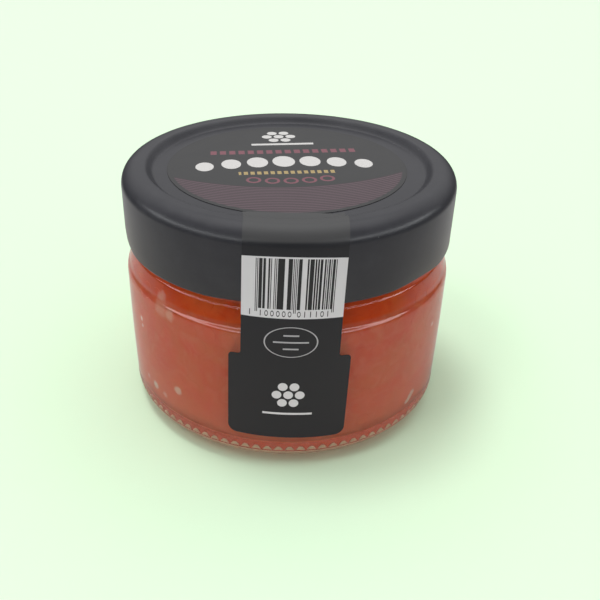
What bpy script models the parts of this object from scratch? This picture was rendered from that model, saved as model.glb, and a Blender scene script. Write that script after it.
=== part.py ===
"""A shut glass jar of salmon roe: jar, roe, lid, round label on the lid and seal label down the front.

Metres, +Z up. The origin is the centre of the ring that the jar stands on, and the seal label faces -Y.
A profile is a list of (radius, height) points, and a turned shape's profile runs down its outer side.
"""
import math
import random

import bmesh
import bpy
from mathutils import Vector

MM = 0.001

# Clearances between pieces that touch, or nearly touch, on the real jar
GAP = 0.3 * MM
NECK_GAP = 0.4 * MM
LIP_GAP = 0.9 * MM

# Whole jar
JAR_HEIGHT = 65.7 * MM
TURN_STEPS = 52

# Lid: a deep twist-off cap of thin steel, with a sunk panel and a rolled lower edge
LID_RADIUS = 43.0 * MM
LID_DEPTH = 18.8 * MM
LID_WALL = 0.5 * MM
LID_SHOULDER = 4.2 * MM
LID_PANEL_RADIUS = 34.4 * MM
LID_PANEL_SINK = 1.75 * MM
LID_CREST_RADIUS = 37.6 * MM
LID_CURL_RADIUS = 0.8 * MM

# Glass
BODY_RADIUS = 43.3 * MM
BODY_FOOT_RADIUS = 43.0 * MM
BODY_WIDE_LOW = 25.0 * MM
BODY_WIDE_HIGH = 35.0 * MM
BODY_TAPER_HEIGHT = 14.0 * MM
HEEL_HEIGHT = 5.9 * MM
STAND_OUTER_RADIUS = 32.0 * MM
STAND_INNER_RADIUS = 28.0 * MM
PUNT_RADIUS = 17.0 * MM
PUNT_RISE = 1.8 * MM
SHOULDER_BOTTOM = 37.0 * MM
SHOULDER_TOP = 48.2 * MM
CONE_TOP = (41.05 * MM, 46.2 * MM)
CONE_BOTTOM = (42.4 * MM, 41.3 * MM)
LEDGE = ((43.1 * MM, 39.8 * MM), (43.22 * MM, 38.4 * MM))
NECK_RADIUS = LID_RADIUS - 2 * LID_CURL_RADIUS - NECK_GAP
LIP_ROUND = 0.6 * MM
LIP_TOP = JAR_HEIGHT - LID_WALL - LIP_GAP
GLASS_WALL = 2.2 * MM
FLOOR_HEIGHT = 4.6 * MM
FLOOR_CROWN = 0.2 * MM
INNER_HEEL = 6.0 * MM

# Roe: ripe eggs packed against the glass
EGG_PITCH = 4.85 * MM
EGG_BULGE = 1.25 * MM
EGG_SHRINK = 0.35 * MM
EGG_WANDER = 0.12
ROE_LEVEL = 50.5 * MM
ROE_FLOOR_RADIUS = 33.5 * MM
SEED = 11

# Labels of coated paper
LABEL_THICKNESS = 0.2 * MM
LID_LABEL_RADIUS = 30.8 * MM
LID_LABEL_OFF_CENTRE = -0.5 * MM
SEAL_END = 29.0 * MM
SEAL_NECK_HALF = 11.65 * MM
SEAL_PANEL_HALF = 14.6 * MM
SEAL_PANEL_TOP = 33.6 * MM
SEAL_BOTTOM = 9.7 * MM
SEAL_FILLET = 0.75 * MM
SEAL_TOP_CORNER = 1.0 * MM
SEAL_CORNER = 2.3 * MM
SEAL_COLUMNS = 6


def clear_scene():
    for old in list(bpy.data.objects):
        bpy.data.objects.remove(old, do_unlink=True)


def make_collection(name):
    made = bpy.data.collections.new(name)
    bpy.context.scene.collection.children.link(made)
    return made


def make_material(name, colour, roughness, metallic=0.0, transmission=0.0):
    made = bpy.data.materials.new(name)
    made.use_nodes = True
    shader = made.node_tree.nodes["Principled BSDF"]
    shader.inputs["Base Color"].default_value = (*colour, 1.0)
    shader.inputs["Roughness"].default_value = roughness
    shader.inputs["Metallic"].default_value = metallic
    shader.inputs["Transmission Weight"].default_value = transmission
    return made


def add_object(name, mesh, material, collection):
    mesh.materials.append(material)
    made = bpy.data.objects.new(name, mesh)
    collection.objects.link(made)
    return made


def add_bmesh(name, bm, material, collection):
    """An object from a bmesh, which is freed, with its faces shaded smooth."""
    mesh = bpy.data.meshes.new(name)
    bm.to_mesh(mesh)
    bm.free()
    mesh.shade_smooth()
    return add_object(name, mesh, material, collection)


def arc(centre, radii, start, end, steps):
    """Points on an upright ellipse, from one angle to another in degrees, both ends included."""
    turns = [math.radians(start + (end - start) * i / steps) for i in range(steps + 1)]
    return [(centre[0] + radii[0] * math.cos(t), centre[1] + radii[1] * math.sin(t)) for t in turns]


def s_curve(start, end, steps):
    """A smooth step between two points, upright at both ends."""
    points = []
    for i in range(steps + 1):
        share = i / steps
        eased = share * share * (3 - 2 * share)
        points.append((start[0] + (end[0] - start[0]) * eased, start[1] + (end[1] - start[1]) * share))
    return points


def offset_profile(profile, distance):
    """The profile moved to its left by a distance, with its corners kept."""
    moved = []
    last = len(profile) - 1
    for i, point in enumerate(profile):
        here = Vector(point)
        before = (here - Vector(profile[max(i - 1, 0)])).normalized()
        after = (Vector(profile[min(i + 1, last)]) - here).normalized()
        along = (before + after).normalized()
        reach = distance / along.dot(after if i < last else before)
        moved.append((here.x - along.y * reach, here.y + along.x * reach))
    return moved


def radius_at(profile, height):
    """The radius of a downward profile at a height."""
    for (upper_r, upper_z), (lower_r, lower_z) in zip(profile, profile[1:]):
        if lower_z <= height <= upper_z:
            share = (upper_z - height) / (upper_z - lower_z)
            return upper_r + (lower_r - upper_r) * share
    return profile[0][0]


def turn_profile(name, profile, material, collection):
    """A closed solid of revolution from a profile that starts and ends on the axis."""
    mesh = bpy.data.meshes.new(name)
    edges = [(i, i + 1) for i in range(len(profile) - 1)]
    mesh.from_pydata([(r, 0.0, z) for r, z in profile], edges, [])
    made = add_object(name, mesh, material, collection)
    screw = made.modifiers.new("turn", "SCREW")
    screw.angle = 2 * math.pi
    screw.steps = TURN_STEPS
    screw.render_steps = TURN_STEPS
    screw.use_merge_vertices = True
    screw.merge_threshold = 0.01 * MM
    screw.use_smooth_shade = True
    return made


def lid_top_profile():
    """From the edge of the sunk panel over the rim's crest to the top of the skirt."""
    panel = JAR_HEIGHT - LID_PANEL_SINK
    rise = LID_CREST_RADIUS - LID_PANEL_RADIUS
    shoulder_centre = (LID_RADIUS - LID_SHOULDER, JAR_HEIGHT - LID_SHOULDER)
    slope = [(0.0, 0.0), (0.15, 0.10), (0.55, 0.80), (0.75, 0.97), (1.0, 1.0)]
    return [
        *[(LID_PANEL_RADIUS + out * rise, panel + up * LID_PANEL_SINK) for out, up in slope],
        *arc(shoulder_centre, (LID_SHOULDER, LID_SHOULDER), 90, 0, 5),
    ]


def lid_profile():
    """Outside from the middle of the panel down to the rolled edge, and back up inside."""
    outer = lid_top_profile()
    inner = offset_profile(outer, -LID_WALL)
    panel = JAR_HEIGHT - LID_PANEL_SINK
    bottom = JAR_HEIGHT - LID_DEPTH
    curl_centre = (LID_RADIUS - LID_CURL_RADIUS, bottom + LID_CURL_RADIUS)
    curl = arc(curl_centre, (LID_CURL_RADIUS, LID_CURL_RADIUS), 0, -210, 6)
    above_curl = (LID_RADIUS - LID_WALL, bottom + 2.4 * LID_CURL_RADIUS)
    return [(0.0, panel), *outer, *curl, above_curl, *reversed(inner), (0.0, panel - LID_WALL)]


def glass_body_profile():
    """Outside of the glass from the foot of the neck down to the top of the heel."""
    return [
        (NECK_RADIUS, SHOULDER_TOP),
        CONE_TOP,
        CONE_BOTTOM,
        *LEDGE,
        (BODY_RADIUS, SHOULDER_BOTTOM),
        (BODY_RADIUS, BODY_WIDE_HIGH),
        (BODY_RADIUS, BODY_WIDE_LOW),
        (0.5 * (BODY_RADIUS + BODY_FOOT_RADIUS), BODY_TAPER_HEIGHT),
        (BODY_FOOT_RADIUS, HEEL_HEIGHT),
    ]


def glass_inner_profile():
    """Inside of the glass from the middle of the floor out and up to the foot of the lip."""
    wall = BODY_RADIUS - GLASS_WALL
    neck = NECK_RADIUS - GLASS_WALL
    heel_centre = (BODY_FOOT_RADIUS - GLASS_WALL - INNER_HEEL, FLOOR_HEIGHT + INNER_HEEL)
    return [
        (0.0, FLOOR_HEIGHT + FLOOR_CROWN),
        *arc(heel_centre, (INNER_HEEL, INNER_HEEL), -90, 0, 4),
        (wall, BODY_WIDE_LOW),
        *s_curve((wall, SHOULDER_BOTTOM), (neck, SHOULDER_TOP), 3),
        (neck, LIP_TOP - LIP_ROUND),
    ]


def jar_profile():
    """Up the inside, over the lip, down the outside, and under the foot to the axis."""
    lip = [
        (NECK_RADIUS - GLASS_WALL + LIP_ROUND, LIP_TOP),
        (NECK_RADIUS - LIP_ROUND, LIP_TOP),
        (NECK_RADIUS, LIP_TOP - LIP_ROUND),
    ]
    heel_radii = (BODY_FOOT_RADIUS - STAND_OUTER_RADIUS, HEEL_HEIGHT)
    heel = arc((STAND_OUTER_RADIUS, HEEL_HEIGHT), heel_radii, 0, -90, 6)
    foot = [(STAND_INNER_RADIUS, 0.0), (PUNT_RADIUS, 0.95 * PUNT_RISE), (0.0, PUNT_RISE)]
    return [*glass_inner_profile(), *lip, *glass_body_profile(), *heel[1:], *foot]


def roe_wall():
    """The line that the outermost eggs touch, from the floor round the heel and up to the level."""
    inside = offset_profile(glass_inner_profile(), GAP)
    below_level = [point for point in inside[1:] if point[1] < ROE_LEVEL]
    return [(ROE_FLOOR_RADIUS, below_level[0][1]), *below_level, (NECK_RADIUS - GLASS_WALL - GAP, ROE_LEVEL)]


def along_profile(profile, distance):
    """The point at a distance along a profile, and the direction to its right there."""
    for start, end in zip(profile, profile[1:]):
        step = Vector(end) - Vector(start)
        if distance <= step.length:
            break
        distance -= step.length
    way = step.normalized()
    return Vector(start) + way * distance, Vector((way.y, -way.x))


def side_point(wall, distance, angle, depth):
    """A point of the roe's side, a distance up its wall line and a depth behind it. Angle 0 is -Y."""
    place, out = along_profile(wall, distance)
    spot = place - out * depth
    return Vector((spot.x * math.sin(angle), -spot.x * math.cos(angle), spot.y))


def add_hollows(bm, wall, row, row_pitch, count):
    """The low points between two rows of eggs: a zigzag ring, high over each egg of the row below."""
    ring = []
    for k in range(2 * count):
        over_lower_egg = k % 2 == (row - 1) % 2
        distance = row_pitch * (row + (1 / 3 if over_lower_egg else 0))
        ring.append(bm.verts.new(side_point(wall, distance, math.pi * k / count, EGG_BULGE)))
    return ring


def add_egg(bm, corners, wall, distance, angle, draw):
    """A rounded bump over six low points: a small face on top and nine round it."""
    depth = EGG_SHRINK * draw.random()
    first = draw.choice((0, 1))
    reach = EGG_PITCH * 0.26
    radius = along_profile(wall, distance)[0].x
    top = []
    for k in range(3):
        way = math.radians(30 + 60 * (2 * k + first))
        sideways = angle + reach * math.cos(way) / radius
        upwards = distance + reach * math.sin(way)
        top.append(bm.verts.new(side_point(wall, upwards, sideways, depth)))
    bm.faces.new(top)
    for k in range(3):
        near, between, far = [corners[(2 * k + first + step) % 6] for step in range(3)]
        following = top[(k + 1) % 3]
        bm.faces.new((top[k], near, between))
        bm.faces.new((top[k], between, following))
        bm.faces.new((following, between, far))


def close_ring(bm, ring, height):
    """A shallow cone of faces from a ring to the axis."""
    middle = bm.verts.new((0.0, 0.0, height))
    for k, vertex in enumerate(ring):
        bm.faces.new((middle, vertex, ring[(k + 1) % len(ring)]))


def make_roe(material, collection):
    """The packed roe: one closed body whose side is all eggs, in rows round the glass."""
    draw = random.Random(SEED)
    wall = roe_wall()
    length = sum((Vector(end) - Vector(start)).length for start, end in zip(wall, wall[1:]))
    count = round(2 * math.pi * (BODY_RADIUS - GLASS_WALL - GAP) / EGG_PITCH)
    rows = round(length / (EGG_PITCH * math.sqrt(3) / 2))
    row_pitch = length / (rows + 1 / 3)
    bm = bmesh.new()
    rings = [add_hollows(bm, wall, row, row_pitch, count) for row in range(rows + 1)]
    for row in range(rows):
        below = rings[row]
        above = rings[row + 1]
        for j in range(count):
            left, k, right = [(2 * j + row % 2 + step) % (2 * count) for step in (-1, 0, 1)]
            corners = (above[right], above[k], above[left], below[left], below[k], below[right])
            angle = math.pi * (k + EGG_WANDER * draw.uniform(-1, 1)) / count
            add_egg(bm, corners, wall, row_pitch * (row + 2 / 3), angle, draw)
    close_ring(bm, rings[0], FLOOR_HEIGHT + FLOOR_CROWN + 2 * GAP)
    close_ring(bm, rings[-1], ROE_LEVEL)
    bmesh.ops.recalc_face_normals(bm, faces=bm.faces)
    return add_bmesh("roe", bm, material, collection)


def seal_rows():
    """The seal label's rows from its end on the lid to its foot: half its width, radius and height."""
    panel = JAR_HEIGHT - LID_PANEL_SINK
    over_lid_label = panel + 2 * GAP + LABEL_THICKNESS
    past_lid_label = LID_LABEL_RADIUS - LID_LABEL_OFF_CENTRE + GAP
    over_lid = [
        (SEAL_END, over_lid_label),
        (past_lid_label, over_lid_label),
        *offset_profile(lid_top_profile(), GAP),
        (LID_RADIUS + GAP, JAR_HEIGHT - LID_DEPTH),
    ]
    top_corner = (SEAL_PANEL_HALF - SEAL_TOP_CORNER, SEAL_PANEL_TOP - SEAL_TOP_CORNER)
    low_corner = (SEAL_PANEL_HALF - SEAL_CORNER, SEAL_BOTTOM + SEAL_CORNER)
    outline = [
        (SEAL_NECK_HALF, SHOULDER_BOTTOM),
        (SEAL_NECK_HALF, SEAL_PANEL_TOP + SEAL_FILLET),
        (SEAL_NECK_HALF + 0.4 * SEAL_FILLET, SEAL_PANEL_TOP + 0.4 * SEAL_FILLET),
        (SEAL_NECK_HALF + SEAL_FILLET, SEAL_PANEL_TOP + 0.2 * SEAL_FILLET),
        *arc(top_corner, (SEAL_TOP_CORNER, SEAL_TOP_CORNER), 90, 0, 2),
        (SEAL_PANEL_HALF, BODY_WIDE_LOW),
        (SEAL_PANEL_HALF, BODY_TAPER_HEIGHT),
        *arc(low_corner, (SEAL_CORNER, SEAL_CORNER), 0, -90, 4),
    ]
    glass = glass_body_profile()
    down_glass = [(half, radius_at(glass, height) + GAP, height) for half, height in outline]
    return [(SEAL_NECK_HALF, radius, height) for radius, height in over_lid] + down_glass


def make_seal_label(material, collection):
    """A grid bent over the rim and down the jar, with straight sides and a straight end, made solid."""
    rows = seal_rows()
    bm = bmesh.new()
    bmesh.ops.create_grid(bm, x_segments=SEAL_COLUMNS, y_segments=len(rows) - 1, size=1.0)
    for vertex in bm.verts:
        row = round((1 - vertex.co.y) / 2 * (len(rows) - 1))
        half, radius, height = rows[row]
        x = BODY_RADIUS * math.sin(vertex.co.x * half / BODY_RADIUS)
        y = -radius if row == 0 else -math.sqrt(radius * radius - x * x)
        vertex.co = (x, y, height)
    bmesh.ops.recalc_face_normals(bm, faces=bm.faces)
    if min(bm.faces, key=lambda face: face.calc_center_median().z).normal.y > 0:
        bmesh.ops.reverse_faces(bm, faces=bm.faces)
    made = add_bmesh("seal_label", bm, material, collection)
    paper = made.modifiers.new("paper", "SOLIDIFY")
    paper.thickness = LABEL_THICKNESS
    paper.offset = 1.0
    paper.use_even_offset = True
    return made


def make_lid_label(material, collection):
    """A thin disc on the lid's sunk panel."""
    bm = bmesh.new()
    bmesh.ops.create_cone(
        bm,
        cap_ends=True,
        segments=TURN_STEPS,
        radius1=LID_LABEL_RADIUS,
        radius2=LID_LABEL_RADIUS,
        depth=LABEL_THICKNESS,
    )
    mesh = bpy.data.meshes.new("lid_label")
    bm.to_mesh(mesh)
    bm.free()
    made = add_object("lid_label", mesh, material, collection)
    height = JAR_HEIGHT - LID_PANEL_SINK + GAP + 0.5 * LABEL_THICKNESS
    made.location = (LID_LABEL_OFF_CENTRE, 0.0, height)
    return made


def main():
    clear_scene()
    pieces = make_collection("jar_of_salmon_roe")
    glass = make_material("clear glass", (0.95, 0.98, 0.96), 0.03, transmission=1.0)
    roe = make_material("salmon roe", (0.38, 0.075, 0.035), 0.25)
    lacquer = make_material("matt black lacquer", (0.05, 0.05, 0.054), 0.42, metallic=0.2)
    lid_paper = make_material("lid label paper", (0.06, 0.055, 0.058), 0.5)
    seal_paper = make_material("seal label paper", (0.03, 0.03, 0.032), 0.55)
    turn_profile("jar_glass", jar_profile(), glass, pieces)
    turn_profile("lid", lid_profile(), lacquer, pieces)
    make_roe(roe, pieces)
    make_lid_label(lid_paper, pieces)
    make_seal_label(seal_paper, pieces)


main()
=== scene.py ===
import math
import random

import bmesh
import bpy
import numpy as np
from mathutils import Matrix, Vector


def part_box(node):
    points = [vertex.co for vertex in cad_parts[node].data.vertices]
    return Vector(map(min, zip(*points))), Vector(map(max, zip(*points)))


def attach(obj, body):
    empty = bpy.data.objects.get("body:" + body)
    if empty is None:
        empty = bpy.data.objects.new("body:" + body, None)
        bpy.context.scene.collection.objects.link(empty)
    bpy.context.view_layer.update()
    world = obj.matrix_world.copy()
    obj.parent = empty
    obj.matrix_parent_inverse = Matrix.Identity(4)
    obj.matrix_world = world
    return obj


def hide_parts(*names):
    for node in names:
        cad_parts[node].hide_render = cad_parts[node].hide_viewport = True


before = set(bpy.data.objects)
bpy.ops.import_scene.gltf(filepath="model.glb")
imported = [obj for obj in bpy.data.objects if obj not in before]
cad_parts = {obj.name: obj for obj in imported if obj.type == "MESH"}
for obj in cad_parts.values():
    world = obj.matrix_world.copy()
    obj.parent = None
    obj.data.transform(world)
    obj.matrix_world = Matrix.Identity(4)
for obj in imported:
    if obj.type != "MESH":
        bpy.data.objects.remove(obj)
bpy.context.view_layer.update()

MM = 0.001

# Places read from the frame
lid_low, lid_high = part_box("lid")
disc_low, disc_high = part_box("lid_label")
BODY_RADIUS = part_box("jar_glass")[1].x
LIP_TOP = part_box("jar_glass")[1].z
LID_RADIUS = lid_high.x
LID_TOP = lid_high.z
LID_BOTTOM = lid_low.z
ROE_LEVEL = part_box("roe")[1].z
LID_LABEL_RADIUS = 0.5 * (disc_high.x - disc_low.x)
LID_LABEL_MIDDLE = 0.5 * (disc_high.x + disc_low.x)
SEAL_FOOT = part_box("seal_label")[0].z

# Glass
ROUND_STEPS = 288
KNURLS = 97
KNURL_FOOT = 5.35 * MM
KNURL_TALL = 1.1 * MM
KNURL_FOOT_WIDTH = 2.6 * MM
KNURL_TIP_WIDTH = 0.8 * MM
# A band low on the heel that holds painted refracted light, not frost
PAINTED_LIGHT_BAND_FOOT = 3.0 * MM
PAINTED_LIGHT_BAND_TALL = 1.9 * MM
PAINTED_LIGHT_BAND_WIDTH = 3.1 * MM
KNURL_PROUD = 0.05 * MM
KNURL_SUNK = 0.12 * MM
KNURL_RING = 43.0 * MM
FOOT_RADIUS = 43.0 * MM
HEEL_HEIGHT = 5.9 * MM
STAND_OUTER_RADIUS = 32.0 * MM
STAND_INNER_RADIUS = 31.8 * MM
PUNT_RADIUS = 17.0 * MM
PUNT_RISE = 1.8 * MM
SHOULDER_BOTTOM = 37.0 * MM
SHOULDER_TOP = 48.2 * MM
NECK_RADIUS = 41.0 * MM
CONE_TOP = 46.6 * MM
CONE_TOP_BLEND = 1.0 * MM
CONE_FOOT = 37.8 * MM
CONE_FOOT_BLEND = 1.6 * MM
CONE_SLOPE = 0.26
NECK_BEAD_HEIGHT = 44.85 * MM
NECK_BEAD_REACH = 0.18 * MM
NECK_BEAD_SLOPE = 0.34
LEDGE_HEIGHT = 39.8 * MM
LEDGE_REACH = 0.5 * MM
LEDGE_SLOPE = 0.27
LIP_ROUND = 0.6 * MM
GLASS_WALL = 2.2 * MM
FLOOR_HEIGHT = 4.6 * MM
FLOOR_CROWN = 0.2 * MM
INNER_HEEL = 6.0 * MM
BODY_WIDE_LOW = 25.0 * MM
BODY_WIDE_MIDDLE = 30.0 * MM
BODY_WIDE_HIGH = 35.0 * MM
# The taper from body to heel: three heights, and how far the radius is from its ends at two of them
TAPER_TOP = 20.0 * MM
TAPER_MIDDLE = 14.0 * MM
TAPER_FOOT = 9.0 * MM
TAPER_TOP_GAP = 0.05 * MM
TAPER_FOOT_GAP = 0.06 * MM

# Lid
LID_WALL = 0.5 * MM
LID_SHOULDER = 4.2 * MM
PANEL_RADIUS = 34.4 * MM
PANEL_SINK = 1.75 * MM
PANEL_HEIGHT = LID_TOP - PANEL_SINK
CREST_RADIUS = 37.6 * MM
# Shares of the way from panel to crest: where the rise starts, and how much it takes
RISE_START = 0.08
RISE_SHARE = 0.74
# Heights of the rings down the skirt, in mm
SKIRT_HEIGHTS = (58.0, 54.0, 50.5)
SKIRT_INSIDE = 40.0 * MM
CURL_RADIUS = 0.8 * MM
LUGS = 6
LUG_TALL = 3.0 * MM
LUG_LIFT = 0.4 * MM
LUG_PRESS = 0.25 * MM
LUG_HALF_ANGLE = 14
LUG_FIRST_ANGLE = -14

# Roe and brine
EGG_PITCH = 4.85 * MM
EGG_RADIUS = 2.5 * MM
EGG_DEPTH = 1.3 * MM
# How far an egg may stray from its place: round the ring as a share of the pitch, and along the wall
EGG_SHUFFLE_ROUND = 0.13
EGG_SHUFFLE_ALONG = 0.1 * EGG_PITCH
EGG_SIZES = (0.9, 1.08)
EGG_SEGMENTS = 14
EGG_RINGS = 7
INTO_GLASS = 0.1 * MM
BRINE_BEHIND_EGGS = 0.04 * MM
EGG_SEED = 7
WALL_SAMPLES = 1500
POINTS_AT_ONCE = 4000
# Heights in mm between which the roe turns: pale to plain near the floor, plain to deep at the ledge,
# and glowing to plain in the foot of the glass, a painted glow of the light the foot pipes in
PALE_ROE = (8.0, 22.0)
PAINTED_DEEP_ROE = (39.7, 40.7)
PAINTED_GLOW_FOOT = (4.9, 7.0)
# Scraps of membrane and painted glints of light on the glass: angle from the seal label, height and size in
# mm, strength
MEMBRANES_AND_GLINTS = (
    (-48.0, 40.6, 2.2, 0.35),
    (-43.1, 37.2, 2.0, 0.35),
    (-47.7, 37.9, 3.0, 0.25),
    (-41.4, 15.0, 1.7, 0.7),
    # A painted glint of light on the glass
    (-54.8, 11.4, 1.5, 0.85),
    # Scraps of membrane
    (-48.8, 10.7, 1.3, 0.35),
    (-60.3, 12.1, 1.2, 0.3),
    # Painted glints of light on the glass, to the end of the chain of five
    (-61.9, 29.6, 0.9, 0.8),
    (-61.4, 27.6, 0.8, 0.7),
    (61.3, 29.0, 1.0, 0.35),
    *[(49.0 + 0.66 * k, 9.3 + 0.47 * k, 1.4, 0.8) for k in range(5)],
    # Scraps of membrane
    (128, 30.0, 2.0, 0.6),
    (171, 17.0, 1.6, 0.7),
    (-142, 36.0, 2.2, 0.55),
    (-118, 21.0, 1.5, 0.6),
)

# Labels
LABEL_LIFT = 0.04 * MM
LABEL_THICKNESS = 0.1 * MM
LID_PRINT_TURN = 5.1
SEAL_NECK_HALF = 11.65 * MM
SEAL_PANEL_HALF = 14.6 * MM
SEAL_PANEL_TOP = 33.6 * MM
SEAL_FILLET = 0.75 * MM
SEAL_TOP_CORNER = 1.0 * MM
SEAL_CORNER = 2.3 * MM
SEAL_LEAN = 1.35
SEAL_LEAN_HEIGHT = 23.0 * MM
SEAL_END = 30.0 * MM
SEAL_END_SHIFT = 0.5 * MM
SEAL_END_SKEW = 0.034
SEAL_SAG = 0.55
SEAL_COLUMNS = 28
BARS_LEFT = -8.55
BAR_MODULE = 0.188
BAR_COUNT = 95
WHITE_FIELD = (44.25, 59.75)
GUARD_BAR = (45.7, 59.35)
SHORT_BAR = (46.6, 59.35)
DIGIT_HEIGHT = 45.45
DIGIT_HALF_TALL = 0.78
DIGIT_HALF_WIDTH = 0.42

# Camera, from the photograph: a 600 px wide frame, lengths of the lens in those pixels
IMAGE_WIDTH = 600
LENS_PIXELS = 758.3
SENSOR = 36.0
SHIFT_PIXELS = 30
CAMERA_DISTANCE = 217.2 * MM
CAMERA_ELEVATION = 30.82
CAMERA_ROLL = 0.53
CAMERA_AIM = (-4.51 * MM, 0.0, 23.39 * MM)


class Value:
    """What a node gives out. Arithmetic on it adds Math nodes."""

    def __init__(self, finish, socket):
        self.finish = finish
        self.socket = socket

    def maths(self, operation, *values):
        return self.finish.node("ShaderNodeMath", {"operation": operation}, dict(enumerate(values)))

    def __add__(self, other):
        return self.maths("ADD", self, other)

    def __radd__(self, other):
        return self.maths("ADD", other, self)

    def __sub__(self, other):
        return self.maths("SUBTRACT", self, other)

    def __rsub__(self, other):
        return self.maths("SUBTRACT", other, self)

    def __mul__(self, other):
        return self.maths("MULTIPLY", self, other)

    def __rmul__(self, other):
        return self.maths("MULTIPLY", other, self)

    def __truediv__(self, other):
        return self.maths("DIVIDE", self, other)

    def __abs__(self):
        return self.maths("ABSOLUTE", self)

    def __gt__(self, other):
        return self.maths("GREATER_THAN", self, other)

    def __lt__(self, other):
        return self.maths("LESS_THAN", self, other)

    def within(self, low, high):
        """1 between two numbers, 0 elsewhere."""
        return (self > low) * (self < high)

    def floor(self):
        return self.maths("FLOOR", self)

    def root(self):
        return self.maths("SQRT", self)

    def at_least(self, other):
        return self.maths("MAXIMUM", self, other)

    def step(self, low, high):
        """0 below low, 1 above high, smooth between."""
        inputs = {"Value": self, "From Min": low, "From Max": high}
        return self.finish.node("ShaderNodeMapRange", {"interpolation_type": "SMOOTHSTEP"}, inputs)


def joined(masks):
    """The most of several masks, so 1 where any of them is 1."""
    found = masks[0]
    for mask in masks[1:]:
        found = found.at_least(mask)
    return found


class Nodes:
    """The nodes of a material or of the light all round, being made."""

    def __init__(self, owner):
        owner.use_nodes = True
        self.tree = owner.node_tree
        self.tree.nodes.clear()

    def put(self, target, value):
        """A link, a colour or a number into one socket."""
        if isinstance(value, Value):
            self.tree.links.new(value.socket, target)
        elif isinstance(value, tuple) and target.type == "RGBA":
            target.default_value = (*value[:3], 1.0)
        else:
            target.default_value = value

    def node(self, kind, settings=None, inputs=None, output=0):
        """Any node: its settings first, then the values or links of its sockets."""
        made = self.tree.nodes.new(kind)
        for name, value in (settings or {}).items():
            setattr(made, name, value)
        for name, value in (inputs or {}).items():
            self.put(made.inputs[name], value)
        return Value(self, made.outputs[output]) if made.outputs else None

    def mix(self, share, first, second, blend="MIX"):
        """One colour blended into another. Sockets 6 and 7 are a Mix node's colours."""
        settings = {"data_type": "RGBA", "blend_type": blend}
        return self.node("ShaderNodeMix", settings, {0: share, 6: first, 7: second}, output=2)

    def parts(self, vector):
        """The x, y and z of a vector."""
        apart = self.node("ShaderNodeSeparateXYZ", None, {0: vector})
        return [Value(self, apart.socket.node.outputs[i]) for i in range(3)]


class Finish(Nodes):
    """A material being made: its nodes, and the shader that they end in."""

    def __init__(self, name):
        self.material = bpy.data.materials.new(name)
        super().__init__(self.material)
        self.shader = self.tree.nodes.new("ShaderNodeBsdfPrincipled")
        output = self.tree.nodes.new("ShaderNodeOutputMaterial")
        self.tree.links.new(self.shader.outputs["BSDF"], output.inputs["Surface"])

    def place(self):
        return self.node("ShaderNodeTexCoord", output="Object")

    def axes(self):
        """The x, y and z of a point of the piece, in millimetres."""
        inputs = {0: self.place(), "Scale": 1 / MM}
        return self.parts(self.node("ShaderNodeVectorMath", {"operation": "SCALE"}, inputs))

    def noise(self, scale, detail=2.0, roughness=0.5, distortion=0.0):
        inputs = {"Vector": self.place(), "Scale": scale, "Detail": detail}
        inputs |= {"Roughness": roughness, "Distortion": distortion}
        return self.node("ShaderNodeTexNoise", None, inputs)

    def bump(self, height, distance, strength):
        inputs = {"Height": height, "Distance": distance, "Strength": strength}
        return self.node("ShaderNodeBump", None, inputs)

    def surface(self, **sockets):
        """Fills the shader's sockets, whose names are given with _ for a space, and returns the material."""
        for name, value in sockets.items():
            self.put(self.shader.inputs[name.replace("_", " ")], value)
        return self.material


def screen_colour(red, green, blue):
    """A colour as a screen shows it, 0 to 255, in the linear numbers that shaders take."""
    shares = [c / 255 for c in (red, green, blue)]
    return tuple(s / 12.92 if s <= 0.04045 else ((s + 0.055) / 1.055) ** 2.4 for s in shares)


def arc(centre, radii, start, end, steps):
    """Points on an upright ellipse, from one angle to another in degrees, both ends included."""
    turns = [math.radians(start + (end - start) * i / steps) for i in range(steps + 1)]
    return [(centre[0] + radii[0] * math.cos(t), centre[1] + radii[1] * math.sin(t)) for t in turns]


def ease(share):
    return share * share * (3 - 2 * share)


def s_curve(start, end, steps):
    """A smooth step between two points, upright at both ends."""
    shares = [i / steps for i in range(steps + 1)]
    return [(start[0] + (end[0] - start[0]) * ease(s), start[1] + (end[1] - start[1]) * s) for s in shares]


def offset_profile(profile, distance):
    """The profile moved to its left by a distance, with its corners kept."""
    moved = []
    last = len(profile) - 1
    for i, point in enumerate(profile):
        here = Vector(point)
        before = (here - Vector(profile[max(i - 1, 0)])).normalized()
        after = (Vector(profile[min(i + 1, last)]) - here).normalized()
        along = (before + after).normalized()
        reach = distance / along.dot(after if i < last else before)
        moved.append((here.x - along.y * reach, here.y + along.x * reach))
    return moved


def radius_at(profile, height):
    """The radius of a downward profile at a height."""
    for (upper_r, upper_z), (lower_r, lower_z) in zip(profile, profile[1:]):
        if lower_z <= height <= upper_z and upper_z > lower_z:
            share = (upper_z - height) / (upper_z - lower_z)
            return upper_r + (lower_r - upper_r) * share
    return profile[0][0]


def add_piece(name, mesh, material):
    mesh.materials.clear()
    mesh.materials.append(material)
    piece = bpy.data.objects.new(name, mesh)
    bpy.context.scene.collection.objects.link(piece)
    return piece


def apply_modifiers(piece):
    """The piece with its modifiers' result as its own mesh."""
    evaluated = piece.evaluated_get(bpy.context.evaluated_depsgraph_get())
    mesh = bpy.data.meshes.new_from_object(evaluated)
    piece.modifiers.clear()
    piece.data = mesh
    return piece


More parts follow.
